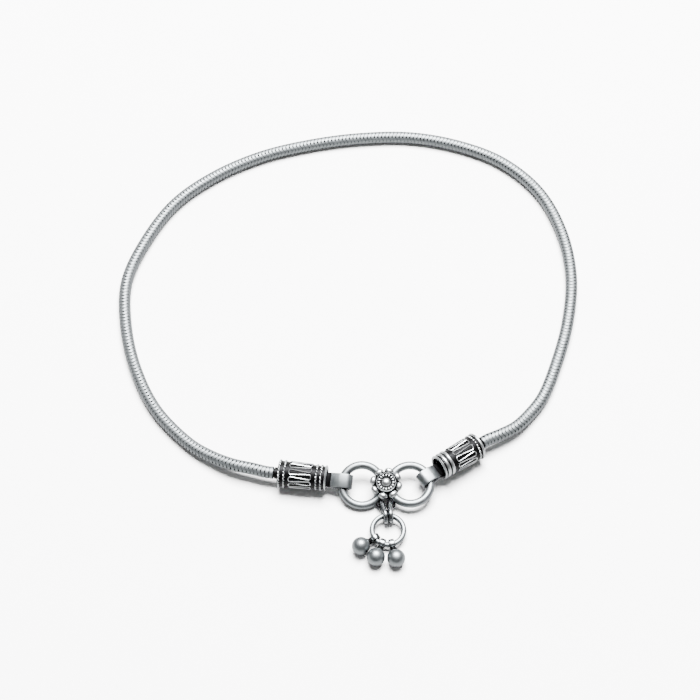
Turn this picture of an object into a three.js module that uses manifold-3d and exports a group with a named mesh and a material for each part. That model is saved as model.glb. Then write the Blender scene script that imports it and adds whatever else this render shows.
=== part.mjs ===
// Payal anklet in silver, closed and lying flat: a round snake chain with an end cap on each end,
// a folded strap out of each cap that holds a ring, a flower that joins the two rings, and below
// the flower a bail, a drop ring and three ball drops.
// Millimetres, +Z up. It lies on z = 0, and the flower is on the side towards -Y.
import * as THREE from 'three';
import { mergeVertices } from 'three/addons/utils/BufferGeometryUtils.js';
import Module from 'manifold-3d';

const wasm = await Module();
wasm.setup();

// Clearances
const FIT = 0.08; // between pieces that lie in or round one another
const FLOOR_GAP = 0.02; // under wires that all but touch the surface

// Snake chain
const CHAIN_DIAMETER = 2.3;
const CHAIN_SIDES = 12; // one side faces straight down and rests
const CHAIN_STEP = 2 * CHAIN_DIAMETER;
const CHAIN_TUCK = 1.6; // length of chain inside each cap
const CHAIN_STRAIGHT = 1.5; // length over which it leaves each cap along the cap's axis
const LOOP_HALF_WIDTH = 43; // from the middle of the loop to the chain's line at its widest
const LOOP_REACH = 46.7; // from there to the chain's line at the far side

// The chain leaves each cap by these points: along and aside are from the end of the cap's neck.
// Rise is the share of the height from the resting chain up to the caps' axis.
const CHAIN_STARTS = {
  right: [
    { along: 4.28, aside: -0.42, rise: 0.7 },
    { along: 7.68, aside: -0.58, rise: 0.45 },
    { along: 11.52, aside: 0.26, rise: 0.15 },
  ],
  left: [
    { along: 4.12, aside: -0.36, rise: 0.93 },
    { along: 8.13, aside: -0.94, rise: 0.75 },
    { along: 12.35, aside: -2.4, rise: 0.35 },
  ],
};

// Between those it goes round by these: wide is a share of the loop's half width, far of its reach.
const CHAIN_ROUND = [
  { wide: 0.8442, far: -0.2869, rise: 0.08 },
  { wide: 0.9093, far: -0.137, rise: 0 },
  { wide: 0.9721, far: 0.0664, rise: 0 },
  { wide: 1.0, far: 0.2912, rise: 0 },
  { wide: 0.9674, far: 0.5161, rise: 0 },
  { wide: 0.8721, far: 0.7195, rise: 0 },
  { wide: 0.7116, far: 0.8694, rise: 0 },
  { wide: 0.5256, far: 0.9529, rise: 0 },
  { wide: 0.3023, far: 1.0, rise: 0 },
  { wide: 0.0651, far: 0.9979, rise: 0 },
  { wide: -0.1721, far: 0.9636, rise: 0 },
  { wide: -0.4023, far: 0.9015, rise: 0 },
  { wide: -0.614, far: 0.7987, rise: 0 },
  { wide: -0.7907, far: 0.6595, rise: 0 },
  { wide: -0.914, far: 0.4754, rise: 0 },
  { wide: -0.993, far: 0.2698, rise: 0 },
  { wide: -0.9884, far: 0.0664, rise: 0 },
  { wide: -0.9326, far: -0.152, rise: 0 },
  { wide: -0.8326, far: -0.3448, rise: 0 },
  { wide: -0.6814, far: -0.4989, rise: 0.1 },
];

// Rings, and the straps folded round them
const RING_RADIUS = 3.7; // to the middle of the wire
const RING_WIRE = 1.5;
const STRAP_WIDTH = 2.6;
const STRAP_THICKNESS = 0.42;
const STRAP_PLAY = 0.7; // from the wire to the middle of the fold
const STRAP_PARTED = 0.45; // how far past the wire its two leaves stay parted
const STRAP_PINCHED = 0.35; // how far before the mouth they lie together
const STRAP_SLIT = 0.12; // between the leaves from there on
const STRAP_TUCK = 2.6; // inside the cap

// End caps
const CAP_LENGTH = 9.0;
const CAP_TAPER = 0.27; // how much wider in radius the chain end is
const CAP_RELIEF = 0.25; // height of the rims and the meander over the ground
const MOUTH_WALL = 0.34;
const MOUTH_DEPTH = 3.1;
const NECK_LENGTH = 0.7;
const NECK_WALL = 0.15;
const MEANDER_WIRE = 0.42;
const MEANDER_PITCH = 1.44;
const MEANDER_SINK = 0.18; // how deep the wire is soldered into the ground

// Rims as shares of the cap's length from its mouth, and the meander's field between them
const CAPS = {
  left: {
    field: { from: 0.3, to: 0.773 },
    rims: [
      { from: 0.011, to: 0.06 },
      { from: 0.088, to: 0.145 },
      { from: 0.179, to: 0.238 },
      { from: 0.833, to: 0.893 },
      { from: 0.94, to: 1 },
    ],
  },
  right: {
    field: { from: 0.33, to: 0.79 },
    rims: [
      { from: 0.011, to: 0.05 },
      { from: 0.07, to: 0.16 },
      { from: 0.17, to: 0.26 },
      { from: 0.845, to: 0.905 },
      { from: 0.93, to: 1 },
    ],
  },
};

// How each side of the link lies. Way is -1 to the left; strap is where the strap holds the ring,
// and tilt lifts the ring's far side. The cap's mouth is at x and y, the cap points from there
// towards heading, pitch lifts its mouth, and sag is how far below the mouth's middle the strap lies.
const LINK_SIDES = {
  left: { way: -1, strap: 168.5, tilt: 20, x: -3.85, y: -31.26, heading: 172.5, pitch: 2, sag: 0.55 },
  right: { way: 1, strap: 25, tilt: 8, x: 16.46, y: -29.44, heading: 35, pitch: 5.5, sag: 0.85 },
};

// Flower
const FLOWER_PLACE = { x: 6.87, y: -32.3 };
const FLOWER_TILT = 12;
const RING_SEAT = 0.7; // from the flower's axis to each ring's wire
const COLLAR_RADIUS = 2.45;
const COLLAR_BELOW = 1.15; // the collar's foot under the rings' plane
const COLLAR_ABOVE = 0.35;
const FACE_RADIUS = 1.8;
const FACE_HEIGHT = 1.95; // over the rings' plane
const FACE_RIM = 0.26;
const FACE_DEPTH = 0.16;
const HEART_RADIUS = 0.83; // the ball in the middle of the face
const HEART_FLATNESS = 0.62;
const DASH_COUNT = 16;
const DASH_WIDTH = 0.28;
const GRANULE_COUNT = 8;
const GRANULE = { along: 0.62, out: 0.5, up: 0.5 };
const GRANULE_PLACE = 2.33;
const GRANULE_HEIGHT = 1.0;

// Eye at the flower's foot, and the bail through it
const EYE_WIRE = 0.5;
const EYE_HALF_WIDTH = 1.5;
const EYE_CORNER = 0.3;
const EYE_HEIGHT = 1.22;
const BAIL_WIRE = 0.8;
const BAIL_SPREAD = 1.2; // between the middles of its two wires
const BAIL_CLOSED = 0.7; // the same at the foot, where the two are soldered
const BAIL_SPAN = 2.05; // between the middles of its two ends
const BAIL_PLAY = 0.14; // round the drop ring
const BAIL_ROOM = 0.2; // from the collar to the bail
const BAIL_YAW = 8;

// Drop ring and its three balls
const DROP_RADIUS = 2.86;
const DROP_WIRE = 1.0;
const BALL_RADIUS = 1.65;
const BALL_REACH = 3.05; // from the drop ring's wire to the ball's middle
const EYELET_WALL = 0.3;
const EYELET_WIDTH = 0.95;
const EYELET_LIFT = 0.3; // of the eyelets over the surface
const BALL_NECK = 0.55;
const BALL_ANGLES = [214, 248, 284];

// Fineness of the round forms
const ROUND_STEPS = 26;
const RIM_STEPS = 3;
const TURN_STEPS = 3;
const WIRE_SIDES = 10;

// Sizes worked out from those above
const chainRest = CHAIN_DIAMETER / 2;
const strapInner = RING_WIRE / 2 + FIT;
const strapOuter = strapInner + STRAP_THICKNESS;
const deepestSag = Math.max(LINK_SIDES.left.sag, LINK_SIDES.right.sag);
const leavesHalf = STRAP_SLIT / 2 + STRAP_THICKNESS; // half of the two leaves where they lie together
const mouthBore = Math.hypot(STRAP_WIDTH / 2, deepestSag + leavesHalf) + 2 * FIT;
const mouthRadius = mouthBore + MOUTH_WALL;
const chainEndRadius = mouthRadius + CAP_TAPER;
const chainBore = (CHAIN_DIAMETER / 2 + FIT) / Math.cos(Math.PI / CHAIN_SIDES);
const neckRadius = chainBore + NECK_WALL;
const eyeletInner = DROP_WIRE / 2 + 2 * FIT;
const eyeletOuter = eyeletInner + EYELET_WALL;
const bailFarRadius = (EYE_WIRE + BAIL_WIRE) / 2 + 2 * FIT;
const bailNearRadius = (DROP_WIRE + BAIL_WIRE) / 2 + FIT + BAIL_PLAY;
const bailNearHeight = bailNearRadius + BAIL_WIRE / 2 + FLOOR_GAP;

const radians = THREE.MathUtils.degToRad;
const vec = (x, y, z) => new THREE.Vector3(x, y, z);

// Finishes
const satin = new THREE.MeshStandardMaterial({ color: 0xc3c6c8, metalness: 1, roughness: 0.34 });
const polished = new THREE.MeshStandardMaterial({ color: 0xd0d2d4, metalness: 1, roughness: 0.2 });
const blackened = new THREE.MeshStandardMaterial({ color: 0x55565a, metalness: 1, roughness: 0.45 });

// A closed geometry as a solid that can be joined or cut
function solid(geometry) {
  const bare = geometry.clone();
  bare.deleteAttribute('normal');
  bare.deleteAttribute('uv');
  const merged = mergeVertices(bare, 1e-4);
  return new wasm.Manifold(
    new wasm.Mesh({
      numProp: 3,
      vertProperties: merged.attributes.position.array,
      triVerts: new Uint32Array(merged.index.array),
    }),
  );
}

function joined(geometries) {
  return geometries.map(solid).reduce((whole, piece) => whole.add(piece));
}

function meshOf(name, body, material) {
  const made = body.getMesh();
  const geometry = new THREE.BufferGeometry();
  geometry.setAttribute('position', new THREE.BufferAttribute(made.vertProperties, 3));
  geometry.setIndex(new THREE.BufferAttribute(made.triVerts, 1));
  geometry.computeVertexNormals();
  const mesh = new THREE.Mesh(geometry, material);
  mesh.name = name;
  return mesh;
}

// A regular outline whose flats lie at the radius, with one flat facing its +X
function flatSided(radius, sides) {
  const corner = radius / Math.cos(Math.PI / sides);
  const points = Array.from({ length: sides }, (_, i) => {
    const angle = ((i + 0.5) / sides) * 2 * Math.PI;
    return new THREE.Vector2(corner * Math.cos(angle), corner * Math.sin(angle));
  });
  return new THREE.Shape(points);
}

// An open wire along a curve, with closed ends
function wireAlong(curve, radius, steps, sides) {
  return new THREE.ExtrudeGeometry(flatSided(radius, sides), {
    steps,
    bevelEnabled: false,
    extrudePath: curve,
  });
}

function latheOf(points) {
  return new THREE.LatheGeometry(points.map(([r, y]) => new THREE.Vector2(r, y)), ROUND_STEPS);
}

// A closed curve through points that already lie where its wire is to bend
class ListedLoop extends THREE.Curve {
  constructor(points) {
    super();
    this.points = points;
  }

  getUtoTmapping(u) {
    return u;
  }

  getPoint(t, target = vec(0, 0, 0)) {
    const count = this.points.length;
    const place = (((t % 1) + 1) % 1) * count;
    const from = Math.floor(place) % count;
    return target.lerpVectors(this.points[from], this.points[(from + 1) % count], place % 1);
  }
}

function loopWire(points, radius, sides) {
  return new THREE.TubeGeometry(new ListedLoop(points), points.length, radius, sides, true);
}

// A smooth curve through points that never comes lower than the resting chain, and whose section
// stays upright
class LyingCurve extends THREE.CatmullRomCurve3 {
  constructor(points) {
    super(points, false, 'centripetal');
  }

  getPoint(t, target) {
    const point = super.getPoint(t, target);
    return point.setZ(Math.max(point.z, chainRest));
  }

  computeFrenetFrames(segments) {
    const tangents = Array.from({ length: segments + 1 }, (_, i) => this.getTangentAt(i / segments));
    const binormals = tangents.map((tangent) => tangent.clone().cross(vec(0, 0, 1)).normalize());
    const normals = tangents.map((tangent, i) => binormals[i].clone().cross(tangent));
    return { tangents, normals, binormals };
  }
}

// Where the ring, strap and cap of one side lie. The cap rests on its chain end's rim, and the strap
// runs level from the ring's wire into the mouth.
function layOut({ way, strap, tilt, x, y, heading, pitch, sag }) {
  const [angle, turn, lift, lean] = [strap, heading, tilt, pitch].map(radians);
  const endHeight = chainEndRadius * Math.cos(lean) + FLOOR_GAP;
  const mouth = vec(x, y, endHeight + CAP_LENGTH * Math.sin(lean));
  const axis = vec(
    Math.cos(turn) * Math.cos(lean),
    Math.sin(turn) * Math.cos(lean),
    -Math.sin(lean),
  );
  const height = mouth.z - sag - RING_RADIUS * Math.sin(angle) * Math.sin(lift);
  const across = vec(0, Math.cos(lift), Math.sin(lift));
  const centre = vec(FLOWER_PLACE.x + way * (RING_SEAT + RING_RADIUS), FLOWER_PLACE.y, height);
  const wire = centre
    .clone()
    .addScaledVector(vec(1, 0, 0), RING_RADIUS * Math.cos(angle))
    .addScaledVector(across, RING_RADIUS * Math.sin(angle));
  const run = mouth.clone().sub(wire).setZ(0);
  const shown = run.length();
  const strapAxis = run.normalize();
  const tangent = vec(-Math.sin(angle), 0, 0).addScaledVector(across, Math.cos(angle));
  const width = tangent.addScaledVector(strapAxis, -tangent.dot(strapAxis)).normalize();
  return { centre, lift, wire, shown, strapAxis, width, mouth, axis, endHeight };
}

const lay = { left: layOut(LINK_SIDES.left), right: layOut(LINK_SIDES.right) };

// Ground of the cap, and the radius that its rims reach, at a length from the mouth
const rimRadius = (along) => mouthRadius + (CAP_TAPER * along) / CAP_LENGTH;
const groundRadius = (along) => rimRadius(along) - CAP_RELIEF;

function capProfile(rims) {
  const points = [
    [0, MOUTH_DEPTH],
    [mouthBore, MOUTH_DEPTH],
    [mouthBore, 0],
  ];
  rims.forEach(({ from, to }) => {
    const middle = (CAP_LENGTH * (from + to)) / 2;
    const half = (CAP_LENGTH * (to - from)) / 2;
    for (let i = 0; i <= RIM_STEPS; i++) {
      const angle = (Math.PI * i) / RIM_STEPS;
      const along = middle - half * Math.cos(angle);
      points.push([groundRadius(along) + CAP_RELIEF * Math.sin(angle), along]);
    }
  });
  const neckEnd = CAP_LENGTH + NECK_LENGTH;
  return points.concat([
    [neckRadius, CAP_LENGTH],
    [neckRadius, neckEnd],
    [chainBore, neckEnd],
    [chainBore, neckEnd - CHAIN_TUCK - FIT],
    [0, neckEnd - CHAIN_TUCK - FIT],
  ]);
}

// The serpentine wire round the field, as points: long runs along the cap joined by half circles
function meanderPoints(field) {
  const middle = (CAP_LENGTH * (field.from + field.to)) / 2;
  const reach = (CAP_LENGTH * (field.to - field.from) - MEANDER_WIRE) / 2;
  const girth = 2 * Math.PI * rimRadius(middle);
  const runs = 2 * Math.round(girth / MEANDER_PITCH);
  const turnAngle = Math.PI / runs; // half the angle between neighbouring runs
  const turn = girth / runs / 2;
  const points = [];
  for (let run = 0; run < runs; run++) {
    const way = run % 2 ? -1 : 1;
    for (let i = 0; i <= TURN_STEPS; i++) {
      const bend = (Math.PI * i) / TURN_STEPS;
      const along = middle + way * (reach - turn + turn * Math.sin(bend));
      const round = turnAngle * (2 * run + 1 - Math.cos(bend));
      const radius = groundRadius(along) + MEANDER_WIRE / 2 - MEANDER_SINK;
      points.push(vec(radius * Math.cos(round), along, -radius * Math.sin(round)));
    }
  }
  return points;
}

function endCap(name, { field, rims }, { mouth, axis }) {
  const meander = loopWire(meanderPoints(field), MEANDER_WIRE / 2, 5);
  const body = joined([latheOf(capProfile(rims)), meander]);
  const cap = meshOf(name, body, blackened);
  cap.position.copy(mouth);
  cap.quaternion.setFromUnitVectors(vec(0, 1, 0), axis);
  return cap;
}

// A flat strip folded round the ring's wire. Its two leaves come together before the mouth and run
// into the cap side by side.
function strapFold(name, { wire, shown, strapAxis, width }) {
  const length = STRAP_PLAY + shown + STRAP_TUCK;
  const parted = STRAP_PLAY + STRAP_PARTED;
  const pinched = STRAP_PLAY + shown - STRAP_PINCHED;
  const slope = Math.atan2(strapInner - STRAP_SLIT / 2, pinched - parted);
  const shift = STRAP_THICKNESS * Math.tan(slope / 2);
  const outline = new THREE.Shape();
  outline.moveTo(length, STRAP_SLIT / 2);
  outline.lineTo(pinched, STRAP_SLIT / 2);
  outline.lineTo(parted, strapInner);
  outline.absarc(0, 0, strapInner, Math.PI / 2, 1.5 * Math.PI, false);
  outline.lineTo(parted, -strapInner);
  outline.lineTo(pinched, -STRAP_SLIT / 2);
  outline.lineTo(length, -STRAP_SLIT / 2);
  outline.lineTo(length, -leavesHalf);
  outline.lineTo(pinched + shift, -leavesHalf);
  outline.lineTo(parted + shift, -strapOuter);
  outline.absarc(0, 0, strapOuter, 1.5 * Math.PI, Math.PI / 2, true);
  outline.lineTo(parted + shift, strapOuter);
  outline.lineTo(pinched + shift, leavesHalf);
  outline.lineTo(length, leavesHalf);
  const strip = new THREE.ExtrudeGeometry(outline, {
    depth: STRAP_WIDTH,
    bevelEnabled: false,
    curveSegments: 10,
  });
  strip.translate(0, 0, -STRAP_WIDTH / 2);
  const strap = meshOf(name, solid(strip), satin);
  const upright = strapAxis.clone().cross(width);
  strap.position.copy(wire).addScaledVector(strapAxis, -STRAP_PLAY);
  strap.quaternion.setFromRotationMatrix(
    new THREE.Matrix4().makeBasis(strapAxis, upright, width.clone().negate()),
  );
  return strap;
}

function ringWire({ centre, lift }) {
  const ring = new THREE.TorusGeometry(RING_RADIUS, RING_WIRE / 2, WIRE_SIDES, ROUND_STEPS);
  return ring.rotateX(lift).translate(centre.x, centre.y, centre.z);
}

// The flower's own pieces, round its upright axis with the rings' plane at height 0
function flowerPieces() {
  const faceFloor = FACE_HEIGHT - FACE_DEPTH;
  const inner = FACE_RADIUS - FACE_RIM;
  const body = latheOf([
    [0, -COLLAR_BELOW],
    [COLLAR_RADIUS - 0.1, -COLLAR_BELOW],
    [COLLAR_RADIUS, -COLLAR_BELOW + 0.1],
    [COLLAR_RADIUS, COLLAR_ABOVE],
    [(COLLAR_RADIUS + FACE_RADIUS) / 2, (COLLAR_ABOVE + FACE_HEIGHT) / 2 + 0.1],
    [FACE_RADIUS, FACE_HEIGHT - 0.08],
    [FACE_RADIUS - 0.08, FACE_HEIGHT],
    [inner + 0.06, FACE_HEIGHT],
    [inner, faceFloor],
    [0, faceFloor],
  ]);
  const heart = new THREE.SphereGeometry(HEART_RADIUS, 14, 8);
  heart.scale(1, HEART_FLATNESS, 1).translate(0, faceFloor, 0);
  const pieces = [body, heart];
  const dashFrom = HEART_RADIUS + FIT;
  const dashLength = inner - dashFrom + FIT;
  for (let i = 0; i < DASH_COUNT; i++) {
    const dash = new THREE.BoxGeometry(dashLength, 2 * FACE_DEPTH, DASH_WIDTH);
    dash.translate(dashFrom + dashLength / 2, faceFloor, 0);
    pieces.push(dash.rotateY((2 * Math.PI * i) / DASH_COUNT));
  }
  for (let i = 0; i < GRANULE_COUNT; i++) {
    const granule = new THREE.SphereGeometry(1, 8, 6);
    granule.scale(GRANULE.out, GRANULE.up, GRANULE.along);
    granule.translate(GRANULE_PLACE, GRANULE_HEIGHT, 0);
    pieces.push(granule.rotateY((2 * Math.PI * (i + 0.7)) / GRANULE_COUNT));
  }
  return pieces.map((piece) => piece.rotateX(Math.PI / 2 + radians(FLOWER_TILT)));
}

// The collar's front, where the bail has to pass, and the eye's bar beyond it
const eyeReach = COLLAR_RADIUS + BAIL_ROOM + BAIL_WIRE / 2 + bailFarRadius;

// A square staple of wire out of the collar, whose bar carries the bail
function eyeStaple() {
  const path = new THREE.CurvePath();
  const root = -COLLAR_RADIUS / 2;
  const [side, corner, bar] = [EYE_HALF_WIDTH, EYE_CORNER, -eyeReach];
  path.add(new THREE.LineCurve3(vec(-side, root, 0), vec(-side, bar + corner, 0)));
  path.add(
    new THREE.QuadraticBezierCurve3(
      vec(-side, bar + corner, 0),
      vec(-side, bar, 0),
      vec(corner - side, bar, 0),
    ),
  );
  path.add(new THREE.LineCurve3(vec(corner - side, bar, 0), vec(side - corner, bar, 0)));
  path.add(
    new THREE.QuadraticBezierCurve3(
      vec(side - corner, bar, 0),
      vec(side, bar, 0),
      vec(side, bar + corner, 0),
    ),
  );
  path.add(new THREE.LineCurve3(vec(side, bar + corner, 0), vec(side, root, 0)));
  return wireAlong(path, EYE_WIRE / 2, 20, 8);
}

function flowerLink() {
  const flowerHeight = (lay.left.centre.z + lay.right.centre.z) / 2;
  const pieces = flowerPieces().map((piece) =>
    piece.translate(FLOWER_PLACE.x, FLOWER_PLACE.y, flowerHeight),
  );
  const eye = eyeStaple().translate(FLOWER_PLACE.x, FLOWER_PLACE.y, EYE_HEIGHT);
  return meshOf(
    'flower_link',
    joined([...pieces, ringWire(lay.left), ringWire(lay.right), eye]),
    satin,
  );
}

// The bail's plane: along runs from the eye's bar towards the drop, side is level across it
const bailWay = vec(Math.sin(radians(BAIL_YAW)), -Math.cos(radians(BAIL_YAW)), 0);
const bailSide = vec(-bailWay.y, bailWay.x, 0);
const eyeBar = vec(FLOWER_PLACE.x, FLOWER_PLACE.y - eyeReach, EYE_HEIGHT);
const bailFoot = eyeBar.clone().addScaledVector(bailWay, BAIL_SPAN).setZ(bailNearHeight);

// One wire of the bail: a loop drawn tight round a small circle at the eye and a larger one
// at the drop ring
function bailLoop(way) {
  const rise = bailNearHeight - EYE_HEIGHT;
  const slope = Math.atan2(rise, BAIL_SPAN);
  const opening = Math.asin((bailNearRadius - bailFarRadius) / Math.hypot(BAIL_SPAN, rise));
  const points = [];
  const arc = (along, height, radius, from, to, steps) => {
    for (let i = 0; i <= steps; i++) {
      const angle = slope + from + ((to - from) * i) / steps;
      const forward = along + radius * Math.cos(angle);
      const share = THREE.MathUtils.clamp(forward / BAIL_SPAN, 0, 1);
      const spread = THREE.MathUtils.lerp(BAIL_SPREAD, BAIL_CLOSED, share * share) / 2;
      points.push(
        vec(eyeBar.x, eyeBar.y, height + radius * Math.sin(angle))
          .addScaledVector(bailWay, forward)
          .addScaledVector(bailSide, way * spread),
      );
    }
  };
  const half = Math.PI / 2;
  arc(BAIL_SPAN, bailNearHeight, bailNearRadius, -half - opening, half + opening, 10);
  arc(0, EYE_HEIGHT, bailFarRadius, half + opening, 3 * half - opening, 8);
  return loopWire(points, BAIL_WIRE / 2, 8);
}

function bail() {
  return meshOf('bail', joined([bailLoop(-1), bailLoop(1)]), polished);
}

// The drop ring lies all but flat: its far side in the bail, its near side in the eyelets
const dropNearHeight = eyeletOuter + EYELET_LIFT;
const dropTilt = Math.asin((bailNearHeight - dropNearHeight) / (2 * DROP_RADIUS));
const dropCentre = bailFoot
  .clone()
  .add(vec(0, -DROP_RADIUS * Math.cos(dropTilt), -DROP_RADIUS * Math.sin(dropTilt)));

function dropRing() {
  const ring = new THREE.TorusGeometry(DROP_RADIUS, DROP_WIRE / 2, WIRE_SIDES, ROUND_STEPS);
  ring.rotateX(dropTilt).translate(dropCentre.x, dropCentre.y, dropCentre.z);
  return meshOf('drop_ring', solid(ring), polished);
}

// A plain ball on the surface, with a neck and a band that goes round the drop ring's wire
function ballDrop(name, degrees) {
  const angle = radians(degrees);
  const across = vec(0, Math.cos(dropTilt), Math.sin(dropTilt));
  const seat = dropCentre
    .clone()
    .addScaledVector(vec(1, 0, 0), DROP_RADIUS * Math.cos(angle))
    .addScaledVector(across, DROP_RADIUS * Math.sin(angle));
  const tangent = vec(-Math.sin(angle), 0, 0).addScaledVector(across, Math.cos(angle));
  const level = Math.sqrt(BALL_REACH ** 2 - (BALL_RADIUS - seat.z) ** 2);
  const ball = vec(
    seat.x + level * Math.cos(angle),
    seat.y + level * Math.sin(angle),
    BALL_RADIUS,
  );
  const sphere = new THREE.SphereGeometry(BALL_RADIUS, 18, 12).rotateX(Math.PI / 2);
  sphere.translate(ball.x, ball.y, ball.z);

  const reach = ball.clone().sub(seat).normalize();
  const axis = tangent.addScaledVector(reach, -tangent.dot(reach)).normalize();
  const frame = new THREE.Matrix4()
    .makeBasis(reach, axis, reach.clone().cross(axis))
    .setPosition(seat);
  const half = EYELET_WIDTH / 2;
  const band = new THREE.LatheGeometry(
    [
      new THREE.Vector2(eyeletInner, -half),
      new THREE.Vector2(eyeletOuter, -half),
      new THREE.Vector2(eyeletOuter, half),
      new THREE.Vector2(eyeletInner, half),
      new THREE.Vector2(eyeletInner, -half),
    ],
    16,
  );
  const neckFrom = (eyeletInner + eyeletOuter) / 2;
  const neckTo = BALL_REACH - BALL_RADIUS / 2;
  const neck = new THREE.CylinderGeometry(BALL_NECK, BALL_NECK, neckTo - neckFrom, 12);
  neck.rotateZ(Math.PI / 2).translate((neckFrom + neckTo) / 2, 0, 0);
  const ends = new THREE.CylinderGeometry(eyeletInner, eyeletInner, 2 * EYELET_WIDTH, 16);
  const eyelet = joined([band, neck]).subtract(solid(ends));
  const placed = eyelet.transform(frame.elements);
  return meshOf(name, placed.add(solid(sphere)), satin);
}

// The chain's solid: a tube from inside one cap round to inside the other
function snakeChain() {
  const out = (side, length) => lay[side].mouth.clone().addScaledVector(lay[side].axis, length);
  const capEnd = CAP_LENGTH + NECK_LENGTH;
  const heightAt = (side, rise) =>
    THREE.MathUtils.lerp(chainRest, lay[side].endHeight, rise);
  const leaving = (side) =>
    CHAIN_STARTS[side].map(({ along, aside, rise }) => {
      const { mouth, axis } = lay[side];
      const ahead = vec(axis.x, axis.y, 0).normalize();
      const beside = vec(-ahead.y, ahead.x, 0);
      const point = mouth.clone().addScaledVector(ahead, capEnd + along);
      return point.addScaledVector(beside, aside).setZ(heightAt(side, rise));
    });
  const round = CHAIN_ROUND.map(({ wide, far, rise }) =>
    vec(LOOP_HALF_WIDTH * wide, LOOP_REACH * far, heightAt(wide > 0 ? 'right' : 'left', rise)),
  );
  const ends = [capEnd - CHAIN_TUCK, capEnd, capEnd + CHAIN_STRAIGHT];
  const route = new LyingCurve([
    ...ends.map((length) => out('right', length)),
    ...leaving('right'),
    ...round,
    ...leaving('left').reverse(),
    ...ends.reverse().map((length) => out('left', length)),
  ]);
  route.arcLengthDivisions = 1000;
  const steps = Math.round(route.getLength() / CHAIN_STEP);
  const tube = wireAlong(route, chainRest, steps, CHAIN_SIDES);
  return meshOf('snake_chain', solid(tube), satin);
}

const anklet = new THREE.Group();
anklet.add(
  snakeChain(),
  endCap('end_cap_left', CAPS.left, lay.left),
  endCap('end_cap_right', CAPS.right, lay.right),
  strapFold('strap_left', lay.left),
  strapFold('strap_right', lay.right),
  flowerLink(),
  bail(),
  dropRing(),
  ...BALL_ANGLES.map((degrees, i) => ballDrop(`ball_drop_${i + 1}`, degrees)),
);

// The origin is on the surface, below the middle of the whole
const middle = new THREE.Box3().setFromObject(anklet, true).getCenter(vec(0, 0, 0));
anklet.position.set(-middle.x, -middle.y, 0);

export default anklet;
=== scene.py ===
"""A silver payal anklet that lies closed on a pale surface, flower and ball drops towards the camera.

Sizes are in millimetres and angles in degrees, as a silversmith gives them, until a mesh is made.
Meshes are in metres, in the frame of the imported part.
"""
from __future__ import annotations

import logging
import math
from collections.abc import Callable, Sequence
from dataclasses import dataclass, field
from enum import Enum
from typing import Any

import bmesh
import bpy
from mathutils import Matrix, Vector


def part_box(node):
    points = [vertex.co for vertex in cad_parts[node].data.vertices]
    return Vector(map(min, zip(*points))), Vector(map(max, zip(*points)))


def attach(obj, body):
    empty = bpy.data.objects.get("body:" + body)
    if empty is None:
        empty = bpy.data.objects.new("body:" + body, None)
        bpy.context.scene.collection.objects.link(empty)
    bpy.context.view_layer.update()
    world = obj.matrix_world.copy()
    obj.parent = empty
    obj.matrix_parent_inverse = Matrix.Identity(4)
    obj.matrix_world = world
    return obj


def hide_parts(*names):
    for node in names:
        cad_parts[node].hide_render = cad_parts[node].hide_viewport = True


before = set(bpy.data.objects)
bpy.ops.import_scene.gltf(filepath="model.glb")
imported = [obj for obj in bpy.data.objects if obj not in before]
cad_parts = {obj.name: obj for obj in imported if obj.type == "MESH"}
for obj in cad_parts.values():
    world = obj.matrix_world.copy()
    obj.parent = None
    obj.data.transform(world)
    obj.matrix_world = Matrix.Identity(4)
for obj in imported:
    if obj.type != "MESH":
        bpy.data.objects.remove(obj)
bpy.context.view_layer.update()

LOG = logging.getLogger("payal")
MM = 0.001
UP = Vector((0.0, 0.0, 1.0))
RIGHT = Vector((1.0, 0.0, 0.0))
FIT = 0.08  # clearance between pieces that lie in or round one another
FLOOR_GAP = 0.02  # under wires that all but touch the surface
SHARP_EDGE = 38.0  # edges that turn more than this stay crisp
ON_AXIS = 1e-6  # a profile's point with a smaller radius lies on the axis

Section = list[tuple[float, float]]  # how high and how far to the side each point lies
SectionRule = Section | Callable[[int], Section]  # one section, or one for each point of a path
Hints = Vector | Sequence[Vector]  # which way a section's height points, for all points or for each
BarrelWire = tuple[list[tuple[float, float, float]], SectionRule]  # radius, turn and length of each point


def linear(hex_code: str) -> tuple[float, float, float, float]:
    """Turns an sRGB hex colour into linear light.

    Args:
        hex_code: The colour, such as "#C4C8CB".

    Returns:
        Red, green, blue and an alpha of 1, in linear light.
    """
    channels = [int(hex_code[i:i + 2], 16) / 255 for i in (1, 3, 5)]
    bent = [c / 12.92 if c <= 0.04045 else ((c + 0.055) / 1.055) ** 2.4 for c in channels]
    return bent[0], bent[1], bent[2], 1.0


def add_node(tree: bpy.types.NodeTree, kind: str, settings: dict[str, Any] | None = None,
             inputs: dict[str | int, Any] | None = None) -> bpy.types.Node:
    """Adds a node to a tree.

    Args:
        tree: The tree that gets the node.
        kind: The node's type.
        settings: Its own settings by name.
        inputs: Its sockets by name or number, each with a value or the socket that feeds it.

    Returns:
        The new node.
    """
    node = tree.nodes.new(kind)
    for name, value in (settings or {}).items():
        setattr(node, name, value)
    for key, value in (inputs or {}).items():
        if isinstance(value, bpy.types.NodeSocket):
            tree.links.new(value, node.inputs[key])
        else:
            node.inputs[key].default_value = value
    return node


def empty_tree(owner: bpy.types.Material | bpy.types.World) -> bpy.types.NodeTree:
    """Turns on the nodes of a material or a world.

    Args:
        owner: The material or the world.

    Returns:
        Its tree, with no node in it.
    """
    owner.use_nodes = True
    owner.node_tree.nodes.clear()
    return owner.node_tree


def add_object(name: str, data: bpy.types.ID) -> bpy.types.Object:
    """Adds an object to the scene.

    Args:
        name: Its name.
        data: Its mesh, lamp or camera.

    Returns:
        The object.
    """
    made = bpy.data.objects.new(name, data)
    bpy.context.scene.collection.objects.link(made)
    return made


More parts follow.
